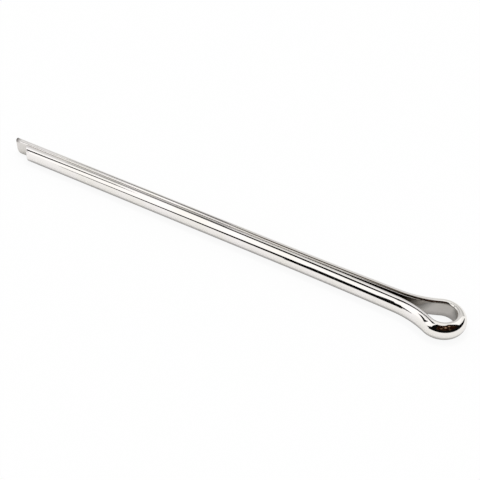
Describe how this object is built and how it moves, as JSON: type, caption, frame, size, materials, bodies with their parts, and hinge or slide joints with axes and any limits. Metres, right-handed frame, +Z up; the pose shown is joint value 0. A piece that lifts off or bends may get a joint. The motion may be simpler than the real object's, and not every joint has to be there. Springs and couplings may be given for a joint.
{
  "type": "cotter pin",
  "caption": "Split cotter pin of half-round steel wire: a round loop eye, a closed straight shank and one leg longer than the other, both with sheared ends.",
  "frame": {"origin": "on the axis of the round shank, where the legs have closed together and run straight on", "axes": "+X along the legs towards their ends, +Y towards the side of the short leg, +Z up along the axis of the eye, with the pin lying flat"},
  "size_m": [0.12, 0.01, 0.0044],
  "materials": {
    "plated_steel": "bright zinc plate over drawn low-carbon steel wire"
  },
  "bodies": {
    "root": {"cotter_pin": "plated_steel"}
  },
  "joints": []
}
